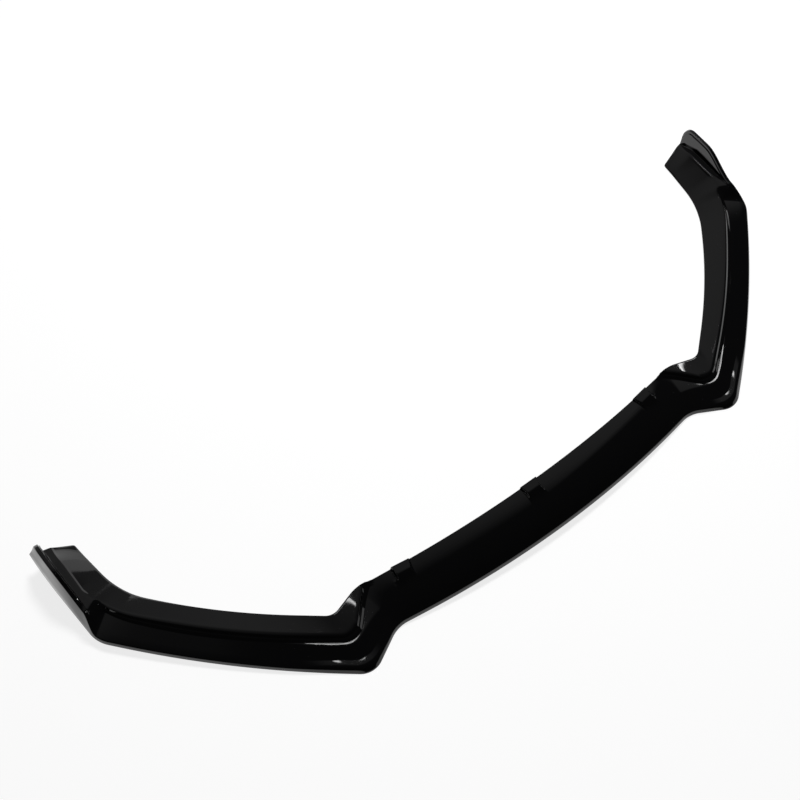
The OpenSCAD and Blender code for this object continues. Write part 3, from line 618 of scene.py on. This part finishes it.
class LIP_OT_stage(bpy.types.Operator):
    """Lay the floor, hang the lamps and set the camera"""

    bl_idname = "lip.stage"
    bl_label = "Stage"

    def execute(self, context):
        studio = context.scene.lip_studio
        self.floor(studio)
        self.world(studio.sky)
        self.key_lamp(studio.key)
        for name, place, aim, reach, width, height, share in GLINTS:
            self.glint(name, Vector(place), Vector(aim), reach, (width, height), share * studio.glints)
        self.camera(studio)
        settings = context.scene.view_settings
        settings.view_transform = "Standard"
        return {"FINISHED"}

    def floor(self, studio):
        """A wide disc. Beyond it the world is as pale, up to just above the horizon."""
        turn = np.linspace(0, 2 * math.pi, FLOOR_SIDES + 1)[:-1]
        rim = np.stack([FLOOR_RADIUS * np.cos(turn), FLOOR_RADIUS * np.sin(turn), 0 * turn], -1)
        mesh = bpy.data.meshes.new("floor")
        mesh.from_pydata(rim.tolist(), [], [list(range(len(turn)))])
        floor = add("floor", mesh)
        mesh.materials.append(backdrop_material(studio.floor))

    def world(self, level):
        """A dim room with one soft rectangle of light, brightest at its top, and a pale far end of the floor.

        A direction's dot products with the rectangle's side and up, each over the one with its middle, are its place
        on it, and smooth ramps end it."""
        world = bpy.data.worlds.new("studio")
        bpy.context.scene.world = world
        world.use_nodes = True
        nodes, link = world.node_tree.nodes, world.node_tree.links.new
        nodes.clear()
        where = nodes.new("ShaderNodeTexCoord").outputs["Generated"]

        def math_of(kind, a, b):
            node = nodes.new("ShaderNodeMath")
            node.operation = kind
            for socket, value in zip(node.inputs, (a, b)):
                if isinstance(value, float):
                    socket.default_value = value
                else:
                    link(value, socket)
            return node.outputs[0]

        def along(axis):
            node = nodes.new("ShaderNodeVectorMath")
            node.operation = "DOT_PRODUCT"
            node.inputs[1].default_value = axis
            link(where, node.inputs[0])
            return node.outputs["Value"]

        def ramped(value, start, end, first, last, kind):
            node = nodes.new("ShaderNodeMapRange")
            node.interpolation_type = kind
            for name, number in (("From Min", start), ("From Max", end), ("To Min", first), ("To Max", last)):
                node.inputs[name].default_value = number
            link(value, node.inputs["Value"])
            return node.outputs["Result"]

        around, rise, roll = SKY_TURN
        middle = Vector((math.sin(around) * math.cos(rise), math.cos(around) * math.cos(rise), math.sin(rise)))
        level_side = Vector((math.cos(around), -math.sin(around), 0))
        steep = level_side.cross(middle)
        side = level_side * math.cos(roll) + steep * math.sin(roll)
        up = steep * math.cos(roll) - level_side * math.sin(roll)
        depth = math_of("MAXIMUM", along(middle), 0.05)
        a = math_of("ABSOLUTE", math_of("DIVIDE", along(side), depth), 0.0)
        b = math_of("DIVIDE", along(up), depth)
        (wide, wide_edge), (high, high_edge), (low_level, top_level), room = SKY_SHAPE
        off = math_of("ABSOLUTE", b, 0.0)
        inside = math_of("MULTIPLY", ramped(a, wide - wide_edge / 2, wide + wide_edge / 2, 1, 0, "SMOOTHSTEP"),
                         ramped(off, high - high_edge / 2, high + high_edge / 2, 1, 0, "SMOOTHSTEP"))
        graded = math_of("MULTIPLY", inside, ramped(b, -high, high, low_level * level, top_level * level, "LINEAR"))
        glow = nodes.new("ShaderNodeBackground")
        glow.inputs["Color"].default_value = (1, 1, 1, 1)
        far = math_of("MULTIPLY", math_of("LESS_THAN", along((0, 0, 1)), HORIZON),
                      math_of("MULTIPLY", seen_rays(nodes, link), FAR_GLOW))
        link(math_of("MAXIMUM", math_of("ADD", graded, room), far), glow.inputs["Strength"])
        link(glow.outputs[0], nodes.new("ShaderNodeOutputWorld").inputs["Surface"])

    def hang(self, name, place, aim, width, height):
        """A round or oval lamp at a place, facing a point, that no camera sees."""
        data = bpy.data.lights.new(name, "AREA")
        data.shape, data.size, data.size_y = "ELLIPSE", width, height
        obj = add(name, data)
        obj.matrix_world = Matrix.Translation(place) @ (place - aim).to_track_quat("Z", "Y").to_matrix().to_4x4()
        obj.visible_camera = False
        return obj

    def key_lamp(self, light):
        """The main lamp, right and rear, left out of the gloss, where it would glare on every thin edge.

        A lamp of radiance L and area A gives a level surface L A z / r cubed, and its power is pi L A, so for the
        light of a sky of that level it is pi squared times the level times r cubed / z."""
        place = Vector(KEY_PLACE)
        key = self.hang("key", place, Vector((0, 0, 0)), KEY_SIZE, KEY_SIZE)
        key.visible_glossy = False
        key.data.energy = light * math.pi ** 2 * place.length ** 3 / place.z

    def glint(self, name, place, aim, reach, size, level):
        """A small lamp behind a grid, which only the lip's surface near one point can mirror.

        Its light fades to nothing at the reach, so its power is its brightness times its area times a third of that
        cone's opening."""
        data = self.hang(name, place, aim, *size).data
        slant = reach / (place - aim).length
        data.energy = level * math.pi * size[0] * size[1] / 4 * math.pi * slant ** 2 / 3
        data.spread = 2 * math.atan(slant)

    def camera(self, studio):
        """A camera above the left wing, looking across the lip."""
        data = bpy.data.cameras.new("camera")
        data.lens, data.sensor_width = studio.lens, 36
        data.clip_start, data.clip_end = 0.05, 50
        obj = add("camera", data)
        right = Vector((0.80111, -0.59822, -0.01884))
        up = Vector((0.53016, 0.69465, 0.48620))
        turn = Matrix((right, up, right.cross(up))).transposed()
        obj.matrix_world = Matrix.Translation((-0.7533, -0.82866, 2.1239)) @ turn.to_4x4()
        bpy.context.scene.camera = obj


class LIP_PT_sidebar(bpy.types.Panel):
    """Sizes, finish and steps of the lip"""

    bl_label = "Splitter lip"
    bl_idname = "LIP_PT_sidebar"
    bl_space_type = "VIEW_3D"
    bl_region_type = "UI"
    bl_category = "Lip"

    def draw(self, context):
        scene = context.scene
        for group in (scene.lip_sizes, scene.lip_finish, scene.lip_studio):
            box = self.layout.box()
            for key in group.__annotations__:
                box.prop(group, key)
        for step in STEPS:
            self.layout.operator(step.bl_idname)


STEPS = (LIP_OT_moulding, LIP_OT_stage)
CLASSES = (LipSizes, LipFinish, StudioSettings, *STEPS, LIP_PT_sidebar)


def register():
    """Adds the classes and the scene's settings."""
    for item in CLASSES:
        bpy.utils.register_class(item)
    bpy.types.Scene.lip_sizes = PointerProperty(type=LipSizes)
    bpy.types.Scene.lip_finish = PointerProperty(type=LipFinish)
    bpy.types.Scene.lip_studio = PointerProperty(type=StudioSettings)


def unregister():
    """Takes the settings and the classes away."""
    for key in ("lip_studio", "lip_finish", "lip_sizes"):
        delattr(bpy.types.Scene, key)
    for item in reversed(CLASSES):
        bpy.utils.unregister_class(item)


def main():
    """Builds the lip and its stage."""
    register()
    bpy.ops.lip.moulding()
    bpy.ops.lip.stage()


if __name__ == "__main__":
    main()
